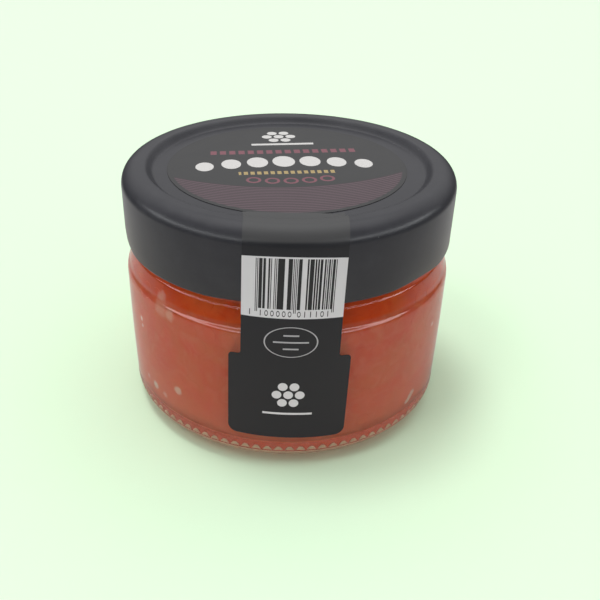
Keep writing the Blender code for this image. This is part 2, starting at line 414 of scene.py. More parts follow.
def turned_piece(name, profile, steps, material, sharp=40):
    """A solid of revolution from a profile that starts and ends on the axis and runs down its outer side."""
    mesh = bpy.data.meshes.new(name)
    edges = [(i, i + 1) for i in range(len(profile) - 1)]
    mesh.from_pydata([(r, 0.0, z) for r, z in profile], edges, [])
    piece = add_piece(name, mesh, material)
    screw = piece.modifiers.new("turn", "SCREW")
    screw.angle = 2 * math.pi
    screw.steps = steps
    screw.render_steps = steps
    screw.use_merge_vertices = True
    screw.merge_threshold = 0.001 * MM
    apply_modifiers(piece)
    piece.data.shade_smooth()
    piece.data.set_sharp_from_angle(angle=math.radians(sharp))
    return piece


def points_of(mesh):
    flat = np.empty(3 * len(mesh.vertices))
    mesh.vertices.foreach_get("co", flat)
    return flat.reshape(-1, 3)


def move_points(mesh, points):
    mesh.vertices.foreach_set("co", points.ravel())
    mesh.update()


# The glass

def shoulder_slope(height):
    """How fast the shoulder widens downwards: a cone, a soft ledge low on it and a fine bead high on it."""
    below_neck = ease(min(1.0, max(0.0, (CONE_TOP - height) / CONE_TOP_BLEND)))
    above_body = ease(min(1.0, max(0.0, (height - CONE_FOOT) / CONE_FOOT_BLEND)))
    cone = CONE_SLOPE * below_neck * above_body
    ledge = LEDGE_SLOPE / math.cosh((height - LEDGE_HEIGHT) / LEDGE_REACH) ** 2
    bead = NECK_BEAD_SLOPE * math.exp(-((height - NECK_BEAD_HEIGHT) / NECK_BEAD_REACH) ** 2)
    return cone + ledge + bead


def glass_outer_profile(steps=120):
    """Outside of the glass from the foot of the neck down to the top of the heel."""
    step = (SHOULDER_TOP - SHOULDER_BOTTOM) / steps
    heights = [SHOULDER_TOP - i * step for i in range(steps + 1)]
    widened = np.concatenate([[0.0], np.cumsum([shoulder_slope(z - 0.5 * step) for z in heights[:-1]])])
    shares = widened / widened[-1]
    shoulder = [(NECK_RADIUS + (BODY_RADIUS - NECK_RADIUS) * s, z) for s, z in zip(shares, heights)]
    return [
        *shoulder,
        (BODY_RADIUS, BODY_WIDE_HIGH),
        (BODY_RADIUS, BODY_WIDE_MIDDLE),
        (BODY_RADIUS, BODY_WIDE_LOW),
        (BODY_RADIUS - TAPER_TOP_GAP, TAPER_TOP),
        (0.5 * (BODY_RADIUS + FOOT_RADIUS), TAPER_MIDDLE),
        (FOOT_RADIUS + TAPER_FOOT_GAP, TAPER_FOOT),
    ]


def glass_inner_profile(steps=12):
    """Inside of the glass from the middle of the floor out and up to the foot of the lip."""
    wall = BODY_RADIUS - GLASS_WALL
    neck = NECK_RADIUS - GLASS_WALL
    heel_centre = (FOOT_RADIUS - GLASS_WALL - INNER_HEEL, FLOOR_HEIGHT + INNER_HEEL)
    return [
        (0.0, FLOOR_HEIGHT + FLOOR_CROWN),
        (20.0 * MM, FLOOR_HEIGHT + 0.6 * FLOOR_CROWN),
        *arc(heel_centre, (INNER_HEEL, INNER_HEEL), -90, 0, steps),
        (wall, BODY_WIDE_LOW),
        *s_curve((wall, SHOULDER_BOTTOM), (neck, SHOULDER_TOP), steps),
        (neck, LIP_TOP - LIP_ROUND),
    ]


def glass_profile():
    """Up the inside, over the lip, down the outside and under the foot to the axis."""
    lip_in = (NECK_RADIUS - GLASS_WALL + LIP_ROUND, LIP_TOP - LIP_ROUND)
    lip_out = (NECK_RADIUS - LIP_ROUND, LIP_TOP - LIP_ROUND)
    heel_radii = (FOOT_RADIUS - STAND_OUTER_RADIUS, HEEL_HEIGHT)
    reach = STAND_INNER_RADIUS - PUNT_RADIUS
    punt = [(STAND_INNER_RADIUS - reach * i / 12, 0.95 * PUNT_RISE * ease(i / 12)) for i in range(13)]
    return [
        *glass_inner_profile(),
        *arc(lip_in, (LIP_ROUND, LIP_ROUND), 180, 90, 4)[1:],
        *arc(lip_out, (LIP_ROUND, LIP_ROUND), 90, 0, 4),
        *glass_outer_profile(),
        *arc((STAND_OUTER_RADIUS, HEEL_HEIGHT), heel_radii, 0, -90, 26),
        *punt,
        (0.0, PUNT_RISE),
    ]


def heel_radius(height):
    """Radius of the outside of the heel at a height."""
    share = max(0.0, 1 - height / HEEL_HEIGHT)
    return STAND_OUTER_RADIUS + (FOOT_RADIUS - STAND_OUTER_RADIUS) * math.sqrt(1 - share * share)


def glass_finish():
    """Clear moulded glass: smooth, with the slow ripple that a mould leaves."""
    made = Finish("clear moulded glass")
    ripple = made.noise(70.0, detail=1.0)
    return made.surface(
        Base_Color=(0.975, 0.992, 0.982),
        Roughness=0.012,
        IOR=1.5,
        Transmission_Weight=1.0,
        Normal=made.bump(ripple, 0.05 * MM, 0.35),
    )


def make_glass():
    glass = turned_piece("jar_glass_clear", glass_profile(), ROUND_STEPS, glass_finish())
    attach(glass, "root")
    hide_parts("jar_glass")


class Growth:
    """A tree of geometry nodes, with named sizes to set."""

    def __init__(self, name):
        self.tree = bpy.data.node_groups.new(name, "GeometryNodeTree")
        self.tree.interface.new_socket("Geometry", in_out="INPUT", socket_type="NodeSocketGeometry")
        self.tree.interface.new_socket("Geometry", in_out="OUTPUT", socket_type="NodeSocketGeometry")
        self.sizes = {}
        self.given = self.tree.nodes.new("NodeGroupInput")

    def size(self, name, kind, value):
        """A named input, and its value for this object."""
        socket = self.tree.interface.new_socket(name, in_out="INPUT", socket_type=kind)
        self.sizes[socket.identifier] = value
        return self.given.outputs[name]

    def node(self, kind, settings=None, inputs=None, output=0):
        """Any node: its settings first, then the values or links of its sockets."""
        made = self.tree.nodes.new(kind)
        for name, value in (settings or {}).items():
            setattr(made, name, value)
        for name, value in (inputs or {}).items():
            if isinstance(value, bpy.types.NodeSocket):
                self.tree.links.new(value, made.inputs[name])
            else:
                made.inputs[name].default_value = value
        return made.outputs[output]

    def grow(self, piece, instances, material):
        """Ends the tree in real, smooth faces of one material, and makes them the piece's own mesh."""
        real = self.node("GeometryNodeRealizeInstances", None, {"Geometry": instances})
        smooth = self.node("GeometryNodeSetShadeSmooth", None, {"Geometry": real})
        done = self.node("GeometryNodeSetMaterial", None, {"Geometry": smooth, "Material": material})
        output = self.tree.nodes.new("NodeGroupOutput")
        self.tree.links.new(done, output.inputs["Geometry"])
        modifier = piece.modifiers.new("grow", "NODES")
        modifier.node_group = self.tree
        for identifier, value in self.sizes.items():
            modifier[identifier] = value
        return apply_modifiers(piece)


def ribs_and_painted_light_finish():
    """Painted refracted light on the heel's ribs and band: a pale khaki that stands in for the floor's light
    seen through the glass, with a random grain.
    """
    made = Finish("ribs and painted refracted light")
    grain = made.noise(1500.0, detail=2.0)
    return made.surface(
        Base_Color=made.mix(grain, (0.34, 0.235, 0.145), (0.42, 0.305, 0.195)),
        Roughness=0.6,
        Normal=made.bump(grain, 0.04 * MM, 0.5),
    )


def make_knurls():
    """A ring of short teeth round the heel over a band, their faces just proud of the glass; the teeth are
    real ribs, and teeth and band are painted pale as the light seen through the heel.
    """
    material = ribs_and_painted_light_finish()
    ribs = add_piece("heel_ribs", bpy.data.meshes.new("heel_ribs"), material)
    growth = Growth("ribs round a ring")
    count = growth.size("Ribs", "NodeSocketInt", KNURLS)
    radius = growth.size("Ring radius", "NodeSocketFloat", KNURL_RING)
    height = growth.size("Ring height", "NodeSocketFloat", KNURL_FOOT)
    tall = growth.size("Rib height", "NodeSocketFloat", KNURL_TALL)
    foot = growth.size("Foot", "NodeSocketFloat", 0.5 * KNURL_FOOT_WIDTH)
    tip = growth.size("Tip", "NodeSocketFloat", 0.5 * KNURL_TIP_WIDTH)
    light_band = growth.size("Band of painted light", "NodeSocketFloat", PAINTED_LIGHT_BAND_TALL)
    light_band_half = growth.size("Half of a block of the band", "NodeSocketFloat", 0.5 * PAINTED_LIGHT_BAND_WIDTH)
    ring = growth.node("GeometryNodeMeshCircle", None, {"Vertices": count, "Radius": radius})
    lift = growth.node("ShaderNodeCombineXYZ", None, {"Z": height})
    ring = growth.node("GeometryNodeSetPosition", None, {"Geometry": ring, "Offset": lift})
    sizes = {"Vertices": 12, "Side Segments": 5, "Radius Top": tip, "Radius Bottom": foot, "Depth": tall}
    tooth = growth.node("GeometryNodeMeshCone", None, sizes)
    sizes = {"Vertices": 12, "Side Segments": 3, "Depth": light_band}
    sizes |= {"Radius Top": light_band_half, "Radius Bottom": light_band_half}
    block = growth.node("GeometryNodeMeshCone", None, sizes)
    lower = {"Geometry": block, "Translation": (0.0, 0.0, PAINTED_LIGHT_BAND_FOOT - KNURL_FOOT)}
    block = growth.node("GeometryNodeTransform", None, lower)
    pair = growth.tree.nodes.new("GeometryNodeJoinGeometry")
    growth.tree.links.new(tooth, pair.inputs[0])
    growth.tree.links.new(block, pair.inputs[0])
    index = growth.node("GeometryNodeInputIndex")
    angle = growth.node("ShaderNodeMath", {"operation": "MULTIPLY"}, {0: index, 1: 2 * math.pi / KNURLS})
    facing = growth.node("ShaderNodeCombineXYZ", None, {"Z": angle})
    inputs = {"Points": ring, "Instance": pair.outputs[0], "Rotation": facing}
    placed = growth.node("GeometryNodeInstanceOnPoints", None, inputs)
    growth.grow(ribs, placed, material)
    points = points_of(ribs.data)
    radius = np.hypot(points[:, 0], points[:, 1])
    pressed = np.where(radius > KNURL_RING + 0.1 * MM, KNURL_PROUD, -KNURL_SUNK)
    bent = pressed + [heel_radius(z) for z in points[:, 2]]
    points[:, :2] *= (bent / radius)[:, None]
    move_points(ribs.data, points)
    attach(ribs, "root")
    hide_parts("jar_glass")


# The roe

def wall_profile(into):
    """The line up the inside of the glass, moved into the glass by a distance."""
    inside = offset_profile(glass_inner_profile(), -into)
    below = [p for p in inside if p[1] < ROE_LEVEL]
    return [*below, (NECK_RADIUS - GLASS_WALL + into, ROE_LEVEL)]


def along_profile(profile, distance):
    """The point at a distance along a profile, and the direction to its right there."""
    for start, end in zip(profile, profile[1:]):
        step = Vector(end) - Vector(start)
        if distance <= step.length:
            break
        distance -= step.length
    way = step.normalized()
    return Vector(start) + way * distance, Vector((way.y, -way.x))


def profile_length(profile):
    return sum((Vector(end) - Vector(start)).length for start, end in zip(profile, profile[1:]))


def egg_places():
    """Rings of eggs against the glass, over the floor and up the wall, loosened by a seeded draw."""
    draw = random.Random(EGG_SEED)
    wall = wall_profile(0.0)
    row_pitch = EGG_PITCH * math.sqrt(3) / 2
    places = []
    rows = int(profile_length(wall) / row_pitch)
    for row in range(rows):
        distance = row_pitch * (row + 0.5)
        radius = along_profile(wall, distance)[0].x
        count = max(1, round(2 * math.pi * radius / EGG_PITCH))
        for k in range(count):
            angle = 2 * math.pi * (k + 0.5 * (row % 2) + EGG_SHUFFLE_ROUND * draw.uniform(-1, 1)) / count
            spot, out = along_profile(wall, distance + EGG_SHUFFLE_ALONG * draw.uniform(-1, 1))
            size = draw.uniform(*EGG_SIZES)
            places.append((spot, out, angle, size))
    return places


def grow_eggs(eggs, material):
    """Puts an egg at each of the piece's points, its pole along the point's outward direction."""
    growth = Growth("eggs on points")
    radius = growth.size("Egg radius", "NodeSocketFloat", EGG_RADIUS)
    segments = growth.size("Segments", "NodeSocketInt", EGG_SEGMENTS)
    rings = growth.size("Rings", "NodeSocketInt", EGG_RINGS)
    seed = growth.size("Seed", "NodeSocketInt", EGG_SEED)
    points = growth.given.outputs["Geometry"]
    inputs = {"Segments": segments, "Rings": rings, "Radius": radius}
    ball = growth.node("GeometryNodeMeshUVSphere", None, inputs)
    place = growth.node("GeometryNodeInputPosition")
    flat = growth.node("ShaderNodeVectorMath", {"operation": "MULTIPLY"}, {0: place, 1: (1.0, 1.0, 0.0)})
    from_pole = growth.node("ShaderNodeVectorMath", {"operation": "LENGTH"}, {0: flat}, output=1)
    share = growth.node("ShaderNodeMath", {"operation": "DIVIDE"}, {0: from_pole, 1: radius})
    store = {"data_type": "FLOAT", "domain": "POINT"}
    inputs = {"Geometry": ball, "Name": "off_pole", "Value": share}
    ball = growth.node("GeometryNodeStoreNamedAttribute", store, inputs)
    out = growth.node("GeometryNodeInputNamedAttribute", {"data_type": "FLOAT_VECTOR"}, {"Name": "outward"})
    size = growth.node("GeometryNodeInputNamedAttribute", {"data_type": "FLOAT"}, {"Name": "size"})
    facing = growth.node("FunctionNodeAlignRotationToVector", {"axis": "Z"}, {"Vector": out})
    inputs = {"Points": points, "Instance": ball, "Rotation": facing, "Scale": size}
    placed = growth.node("GeometryNodeInstanceOnPoints", None, inputs)
    tone = growth.node("FunctionNodeRandomValue", {"data_type": "FLOAT"}, {"Seed": seed}, output=1)
    store = {"data_type": "FLOAT", "domain": "INSTANCE"}
    inputs = {"Geometry": placed, "Name": "tone", "Value": tone}
    toned = growth.node("GeometryNodeStoreNamedAttribute", store, inputs)
    growth.grow(eggs, toned, material)


def press_on_glass(mesh, into):
    """Flattens what reaches past a surface a little inside the glass, as eggs pressed on it are."""
    wall = wall_profile(into)
    samples = np.array(wall)
    lengths = np.hypot(*np.diff(samples, axis=0).T)
    at = np.concatenate([[0], np.cumsum(lengths)])
    dense = np.linspace(0, at[-1], WALL_SAMPLES)
    line = np.column_stack([np.interp(dense, at, samples[:, 0]), np.interp(dense, at, samples[:, 1])])
    way = np.gradient(line, axis=0)
    way /= np.linalg.norm(way, axis=1)[:, None]
    out = np.column_stack([way[:, 1], -way[:, 0]])
    points = points_of(mesh)
    radius = np.hypot(points[:, 0], points[:, 1])
    section = np.column_stack([radius, points[:, 2]])
    nearest = np.empty(len(section), int)
    for start in range(0, len(section), POINTS_AT_ONCE):
        part = slice(start, start + POINTS_AT_ONCE)
        nearest[part] = ((section[part, None] - line[None]) ** 2).sum(axis=2).argmin(axis=1)
    past = ((section - line[nearest]) * out[nearest]).sum(axis=1)
    pressed = section - np.clip(past, 0, None)[:, None] * out[nearest]
    scale = pressed[:, 0] / np.maximum(radius, 1e-9)
    points[:, 0] *= scale
    points[:, 1] *= scale
    points[:, 2] = pressed[:, 1]
    move_points(mesh, points)


def membrane_and_glints(made):
    """Pale scraps of membrane against the glass, and painted glints of light on it: 1 in their middles, 0 off
    them.
    """
    wobble = made.noise(600.0, detail=2.0)
    radius = BODY_RADIUS - GLASS_WALL
    scraps_and_glints = []
    for angle, height, size, strength in MEMBRANES_AND_GLINTS:
        turn = math.radians(angle)
        spot = (radius * math.sin(turn), -radius * math.cos(turn), height * MM)
        inputs = {0: made.place(), 1: spot}
        away = made.node("ShaderNodeVectorMath", {"operation": "DISTANCE"}, inputs, output=1)
        scraps_and_glints.append(strength * (1 - (away / (size * MM) + 0.7 * (wobble - 0.5)).step(0.35, 1.0)))
    return joined(scraps_and_glints)


def roe_finish(name, eggs):
    """Moist roe behind glass: paler and milky between the eggs, deeper inside them; painted deeper above the
    shoulder, painted glow in the foot.
    """
    made = Finish(name)
    height = made.axes()[2]
    slow = made.noise(95.0, detail=3.0, distortion=0.6)
    fine = made.noise(210.0, detail=4.0, distortion=1.4)
    milky = made.mix(slow.step(0.36, 0.64), (0.822, 0.138, 0.063), (0.795, 0.180, 0.069))
    colour = made.mix(fine.step(0.4, 0.7) * 0.3, milky, (0.86, 0.26, 0.13))
    if eggs:
        off_pole = made.node("ShaderNodeAttribute", {"attribute_name": "off_pole"}, output="Fac")
        tone = made.node("ShaderNodeAttribute", {"attribute_name": "tone"}, output="Fac")
        own = made.mix(tone, (0.79, 0.125, 0.045), (0.86, 0.190, 0.080))
        inner = 1 - off_pole.step(0.40, 0.90)
        colour = made.mix(inner * 0.3, colour, own)
    low = 1 - height.step(*PALE_ROE)
    colour = made.mix(low * 0.47, colour, (0.86, 0.27, 0.14))
    # Painted light: above the ledge the roe is coloured deeper and more saturated, standing in for the glass
    # mirroring less light there and for the shade under the lid
    above = height.step(*PAINTED_DEEP_ROE)
    painted_deep = made.mix(slow.step(0.35, 0.65), (0.87, 0.100, 0.010), (0.90, 0.142, 0.022))
    colour = made.mix(above * 0.95, colour, painted_deep)
    # Pale scraps of membrane, and painted glints of light on the glass
    colour = made.mix(membrane_and_glints(made), colour, (0.96, 0.76, 0.58))
    # Painted glow: the roe's foot gives out light, standing in for the light that the glass foot pipes into
    # its underside
    painted_glow = 1 - height.step(*PAINTED_GLOW_FOOT)
    return made.surface(
        Base_Color=colour,
        Roughness=0.4,
        Specular_IOR_Level=0.03,
        Subsurface_Weight=0.2,
        Subsurface_Radius=(1.0, 0.3, 0.12),
        Subsurface_Scale=1.2 * MM,
        Emission_Color=made.mix(painted_glow, (0.0, 0.0, 0.0), (0.17, 0.048, 0.028)),
        Emission_Strength=1.0,
    )


def make_eggs():
    places = egg_places()
    mesh = bpy.data.meshes.new("egg_points")
    points = []
    outward = []
    for spot, out, angle, size in places:
        centre = spot - out * EGG_DEPTH * size
        across = Vector((math.sin(angle), -math.cos(angle)))
        points.append((centre.x * across.x, centre.x * across.y, centre.y))
        outward.append((out.x * across.x, out.x * across.y, out.y))
    mesh.from_pydata(points, [], [])
    mesh.attributes.new("outward", "FLOAT_VECTOR", "POINT").data.foreach_set("vector", np.ravel(outward))
    mesh.attributes.new("size", "FLOAT", "POINT").data.foreach_set("value", [place[3] for place in places])
    material = roe_finish("salmon roe eggs", eggs=True)
    eggs = add_piece("roe_eggs", mesh, material)
    grow_eggs(eggs, material)
    press_on_glass(eggs.data, INTO_GLASS)
    eggs.data.set_sharp_from_angle(angle=math.radians(40))
    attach(eggs, "root")
    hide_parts("roe")


def make_brine():
    """The cloudy liquid and the inner eggs, as one body up to the level."""
    wall = wall_profile(INTO_GLASS - BRINE_BEHIND_EGGS)
    profile = [(0.0, ROE_LEVEL), *reversed(wall)]
    material = roe_finish("brine round the roe", eggs=False)
    brine = turned_piece("roe_brine", profile, 160, material)
    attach(brine, "root")
    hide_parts("roe")


# The lid

def lid_top_profile(steps=14):
    """From the edge of the sunk panel over the rim's crest to the top of the skirt."""
    rise = CREST_RADIUS - PANEL_RADIUS
    slope = []
    for i in range(steps + 1):
        share = i / steps
        climbed = min(1.0, max(0.0, (share - RISE_START) / RISE_SHARE))
        slope.append((PANEL_RADIUS + share * rise, PANEL_HEIGHT + ease(climbed) * PANEL_SINK))
    centre = (LID_RADIUS - LID_SHOULDER, LID_TOP - LID_SHOULDER)
    return [*slope, *arc(centre, (LID_SHOULDER, LID_SHOULDER), 90, 0, steps)]


def lid_profile():
    """Outside from the middle of the panel down to the rolled edge, and back up inside."""
    outer = lid_top_profile()
    inner = offset_profile(outer, -LID_WALL)
    curl_centre = (LID_RADIUS - CURL_RADIUS, LID_BOTTOM + CURL_RADIUS)
    skirt = [(LID_RADIUS, z * MM) for z in SKIRT_HEIGHTS]
    curl = arc(curl_centre, (CURL_RADIUS, CURL_RADIUS), 0, -210, 18)
    above_curl = (LID_RADIUS - LID_WALL, LID_BOTTOM + 2.4 * CURL_RADIUS)
    inside = [above_curl, *reversed(inner), (0.0, PANEL_HEIGHT - LID_WALL)]
    return [(0.0, PANEL_HEIGHT), (20 * MM, PANEL_HEIGHT), *outer, *skirt, *curl, *inside]


def press_lugs(mesh):
    """Lifts and draws in the rolled edge a little over each lug."""
    points = points_of(mesh)
    radius = np.hypot(points[:, 0], points[:, 1])
    angle = np.degrees(np.arctan2(points[:, 0], -points[:, 1]))
    pitch = 360 / LUGS
    off_lug = (angle - LUG_FIRST_ANGLE + pitch / 2) % pitch - pitch / 2
    lug = np.clip(1 - (off_lug / LUG_HALF_ANGLE) ** 2, 0, 1) ** 2
    low = np.clip(1 - (points[:, 2] - LID_BOTTOM) / LUG_TALL, 0, 1) * (radius > SKIRT_INSIDE)
    points[:, 2] += LUG_LIFT * lug * low
    scale = 1 - LUG_PRESS * lug * low / np.maximum(radius, MM)
    points[:, 0] *= scale
    points[:, 1] *= scale
    move_points(mesh, points)


def lacquer_finish():
    """Satin black lacquer on steel: fine orange peel, faint rub marks and a little dust."""
    made = Finish("satin black lacquer")
    peel = made.noise(1600.0, detail=2.0)
    rub = made.noise(90.0, detail=5.0, roughness=0.65)
    specks = made.node("ShaderNodeTexVoronoi", {"feature": "F1"}, {"Vector": made.place(), "Scale": 260.0})
    chance = made.noise(130.0)
    dust = (specks < 0.055) * (chance > 0.56)
    colour = made.mix(rub.step(0.35, 0.8), (0.0188, 0.019, 0.0242), (0.0278, 0.028, 0.0338))
    return made.surface(
        Base_Color=made.mix(dust * 0.3, colour, (0.16, 0.16, 0.155)),
        Roughness=0.25 + 0.10 * rub,
        Specular_IOR_Level=0.46,
        Normal=made.bump(peel, 0.02 * MM, 0.35),
    )


def make_lid():
    lid = turned_piece("lid_lacquered", lid_profile(), 240, lacquer_finish())
    press_lugs(lid.data)
    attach(lid, "root")
    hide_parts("lid")


# The labels

def blocks(x, pitch, share):
    """A row of blocks that fill a share of each pitch."""
    return (x / pitch - (x / pitch).floor()) < share


def disc_mask(x, y, centre_x, centre_y, radius):
    off_x = x - centre_x
    off_y = y - centre_y
    return (off_x * off_x + off_y * off_y).root() < radius


def cluster(x, y, centre_x, centre_y, radius):
    """Seven discs set like a flower."""
    discs = [disc_mask(x, y, centre_x, centre_y, radius)]
    for k in range(6):
        turn = math.radians(60 * k)
        off_x = 2.4 * radius * math.cos(turn)
        off_y = 2.4 * radius * math.sin(turn)
        discs.append(disc_mask(x, y, centre_x + off_x, centre_y + off_y, radius))
    return discs


def lid_label_finish():
    """Coated black paper with a plain print of discs, rings, blocks and a crescent of fine lines, in mm."""
    made = Finish("lid label print")
    turned_x, turned_y, _ = made.axes()
    turn = math.radians(LID_PRINT_TURN)
    x = turned_x * math.cos(turn) + turned_y * math.sin(turn)
    y = turned_y * math.cos(turn) - turned_x * math.sin(turn)
    black = (0.027, 0.027, 0.028)
    white = screen_colour(192, 190, 188)
    rose = screen_colour(114, 68, 78)
    gold = screen_colour(156, 136, 92)
    plum = screen_colour(54, 41, 46)
    thread = screen_colour(92, 75, 82)
    from_middle = ((x + 0.5) * (x + 0.5) + y * y).root()
    from_above = ((x + 0.5) * (x + 0.5) + (y - 40.0) * (y - 40.0)).root()
    crescent = (from_above > 54.6) * (from_middle < 29.6)
    colour = made.mix(crescent, black, plum)
    colour = made.mix(crescent * blocks(from_above, 0.95, 0.36), colour, thread)
    seeds = []
    for k in range(-3, 4):
        seeds.append(disc_mask(x, 0.76 * y, 6.9 * k - 1.0, 0.76 * (2.9 - 0.3 * k * k), 2.95 - 0.2 * abs(k)))
    colour = made.mix(joined(seeds), colour, white)
    rose_row = x.within(-20.0, 20.0) * y.within(8.9, 11.6) * blocks(x, 2.5, 0.66)
    rings = []
    for k in range(-2, 3):
        centre = (4.6 * k - 0.5, 0.25 * k * k - 10.6)
        rings.append(disc_mask(x, y, *centre, 1.9) - disc_mask(x, y, *centre, 1.2))
    colour = made.mix(joined([rose_row, *rings]), colour, rose)
    gold_row = x.within(-13.2, 11.8) * y.within(-6.0, -4.0) * blocks(x, 1.7, 0.62)
    colour = made.mix(gold_row, colour, gold)
    rule = x.within(-8.6, 8.6) * y.within(15.6, 17.0)
    colour = made.mix(joined([*cluster(x, y, -0.5, 22.6, 1.4), rule]), colour, white)
    fibre = made.noise(2600.0, detail=3.0)
    rub = made.noise(120.0, detail=4.0)
    return made.surface(
        Base_Color=colour,
        Roughness=0.42 + 0.1 * rub,
        Normal=made.bump(fibre, 0.01 * MM, 0.25),
    )


def make_lid_label():
    """A thin disc of paper with a softly cut edge, lying on the lid's panel."""
    radius = LID_LABEL_RADIUS
    low = PANEL_HEIGHT + LABEL_LIFT
    high = low + LABEL_THICKNESS
    soft = 0.04 * MM
    profile = [(0.0, high), (radius - soft, high), (radius, high - soft), (radius, low), (0.0, low)]
    label = turned_piece("lid_label_printed", profile, 240, lid_label_finish())
    label.data.transform(Matrix.Translation((LID_LABEL_MIDDLE, 0.0, 0.0)))
    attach(label, "root")
    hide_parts("lid_label")


def seal_path():
    """The line that the middle of the seal label follows, from its end on the lid down to the heel."""
    over_label = PANEL_HEIGHT + 2 * LABEL_LIFT + LABEL_THICKNESS
    glass = [*glass_outer_profile(), (FOOT_RADIUS, HEEL_HEIGHT)]
    down_skirt = [LID_TOP - LID_SHOULDER - step * MM for step in range(2, 15, 2)]
    down_glass = [SHOULDER_BOTTOM - step * 1.5 * MM for step in range(20)]
    return [
        (SEAL_END, over_label),
        (LID_LABEL_RADIUS + 0.9 * MM, over_label),
        *offset_profile(lid_top_profile(), LABEL_LIFT),
        *[(LID_RADIUS + LABEL_LIFT, height) for height in down_skirt],
        *[(radius_at(glass, height) + LABEL_LIFT, height) for height in down_glass],
    ]


def path_lengths(path):
    """How far along the path each of its points is."""
    return np.concatenate([[0.0], np.cumsum(np.hypot(*np.diff(np.array(path), axis=0).T))])


def seal_outline():
    """Half the seal label's width at heights on the glass, from its neck to its foot."""
    top_corner = (SEAL_PANEL_HALF - SEAL_TOP_CORNER, SEAL_PANEL_TOP - SEAL_TOP_CORNER)
    low_corner = (SEAL_PANEL_HALF - SEAL_CORNER, SEAL_FOOT + SEAL_CORNER)
    fillet_centre = (SEAL_NECK_HALF + SEAL_FILLET, SEAL_PANEL_TOP + SEAL_FILLET)
    return [
        (SEAL_NECK_HALF, SHOULDER_BOTTOM),
        *arc(fillet_centre, (SEAL_FILLET, 0.9 * SEAL_FILLET), 180, 262, 6),
        *arc(top_corner, (SEAL_TOP_CORNER, SEAL_TOP_CORNER), 88, 0, 6),
        *[(SEAL_PANEL_HALF, z * MM) for z in (30.0, 27.0, 24.0, 21.0, 18.0, 15.0)],
        *arc(low_corner, (SEAL_CORNER, SEAL_CORNER), 0, -90, 10),
    ]


def digits(made, modules, first, count, height):
    """A row of plain noughts and ones, seven modules apart."""
    cell = (modules - first) / 7
    number = cell.floor()
    off = (cell - number - 0.5) * 7 * BAR_MODULE
    wide = off / DIGIT_HALF_WIDTH
    up = (height - DIGIT_HEIGHT) / DIGIT_HALF_TALL
    nought = abs((wide * wide + up * up).root() - 0.8) < 0.17
    one = (abs(off) < 0.1) * (abs(up) < 0.97)
    coin = made.node("ShaderNodeTexWhiteNoise", {"noise_dimensions": "1D"}, {"W": number + first + 0.5})
    chosen = coin > 0.5
    return (chosen * nought + (1 - chosen) * one) * cell.within(0, count)


def seal_finish():
    """Coated black paper with a white field of bars, an oval and a plain motif. Sizes in millimetres."""
    made = Finish("seal label print")
    x, y, z = made.axes()
    arc_x = x.maths("ARCTAN2", x, -1 * y) * (BODY_RADIUS / MM)
    lean = math.radians(SEAL_LEAN)
    pivot = SEAL_LEAN_HEIGHT / MM
    across = arc_x * math.cos(lean) - (z - pivot) * math.sin(lean)
    dip = across * across * (SEAL_SAG / 11.5 ** 2) * z.step(42.0, 61.0)
    height = pivot + (z - pivot) * math.cos(lean) + arc_x * math.sin(lean) + dip
    # The paper's black is painted paler where it lies on the lid's top: painted light falling from above
    black = made.mix(z.step(62.6, 63.4), (0.0132, 0.0135, 0.0168), (0.046, 0.046, 0.047))
    ink = (0.016, 0.016, 0.017)
    white = screen_colour(216, 215, 216)
    pale = screen_colour(200, 199, 201)
    colour = made.mix(height.within(*WHITE_FIELD), black, white)

    modules = (across - BARS_LEFT) / BAR_MODULE
    step = modules.floor()
    coin = made.node("ShaderNodeTexWhiteNoise", {"noise_dimensions": "1D"}, {"W": step + 0.5})
    bars = (coin > 0.44) * step.within(2.5, BAR_COUNT - 3.5) * (1 - step.within(44.5, 49.5))
    guard_steps = (0, 2, 46, 48, BAR_COUNT - 3, BAR_COUNT - 1)
    guards = joined([step.within(g - 0.5, g + 0.5) for g in guard_steps])
    tall = guards * height.within(*GUARD_BAR)
    short = bars * height.within(*SHORT_BAR)
    numbers = [
        digits(made, modules, -9.5, 1, height),
        digits(made, modules, 3.5, 6, height),
        digits(made, modules, 49.5, 6, height),
    ]
    colour = made.mix(joined([tall, short, *numbers]), colour, ink)

    oval_x = across / 6.1
    oval_z = (height - 38.0) / 4.0
    oval = abs((oval_x * oval_x + oval_z * oval_z).root() - 1) < 0.025
    rule_sizes = ((1.8, 39.8), (4.1, 38.0), (1.8, 36.2))
    rules = [across.within(-w, w) * height.within(h - 0.2, h + 0.2) for w, h in rule_sizes]
    colour = made.mix(joined([oval, *rules]) * 0.75, colour, pale)

    rule = across.within(-6.0, 6.0) * height.within(17.0, 17.6)
    colour = made.mix(joined([*cluster(across, height, 0.0, 23.0, 1.15), rule]), colour, white)

    fibre = made.noise(2600.0, detail=3.0)
    cockle = made.noise(150.0, detail=2.0)
    relief = fibre * 0.2 + cockle
    return made.surface(
        Base_Color=colour,
        Roughness=0.38,
        Specular_IOR_Level=0.38,
        Normal=made.bump(relief, 0.03 * MM, 0.3),
    )


